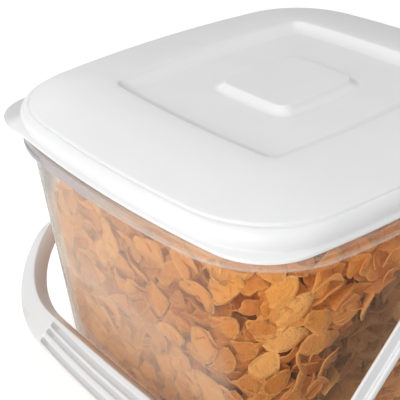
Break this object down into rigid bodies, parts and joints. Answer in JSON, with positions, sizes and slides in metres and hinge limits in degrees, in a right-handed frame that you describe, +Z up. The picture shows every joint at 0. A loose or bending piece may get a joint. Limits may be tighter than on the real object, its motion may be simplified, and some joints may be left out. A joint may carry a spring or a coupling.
{
  "type": "rectangular food keeper",
  "caption": "Rectangular translucent food keeper with rounded, tapered sides, a white press-on lid with a peel tab, a sunk panel and a raised boss, and a swing-down bail handle.",
  "frame": {"origin": "under the middle of the tub, on the surface that it stands on", "axes": "+Z up; X runs through the two handle pivots; the handle hangs down on the -Y side"},
  "size_m": [0.2748, 0.2982, 0.2274],
  "materials": {
    "clear_plastic": "translucent natural polypropylene, satin moulded",
    "lid_plastic": "white, satin moulded",
    "handle_plastic": "white, satin moulded"
  },
  "bodies": {
    "tub": {"tub": "clear_plastic"},
    "lid": {"lid": "lid_plastic"},
    "handle": {"handle": "handle_plastic"}
  },
  "joints": [
    {"name": "lid_lift", "type": "slide", "parent": "tub", "child": "lid", "axis": [0, 0, 1], "range_m": [0, 0.06]},
    {"name": "handle_swing", "type": "hinge", "parent": "tub", "child": "handle", "pos_m": [0, 0, 0.1834], "axis": [-1, 0, 0], "range_deg": [0, 266.4]}
  ]
}
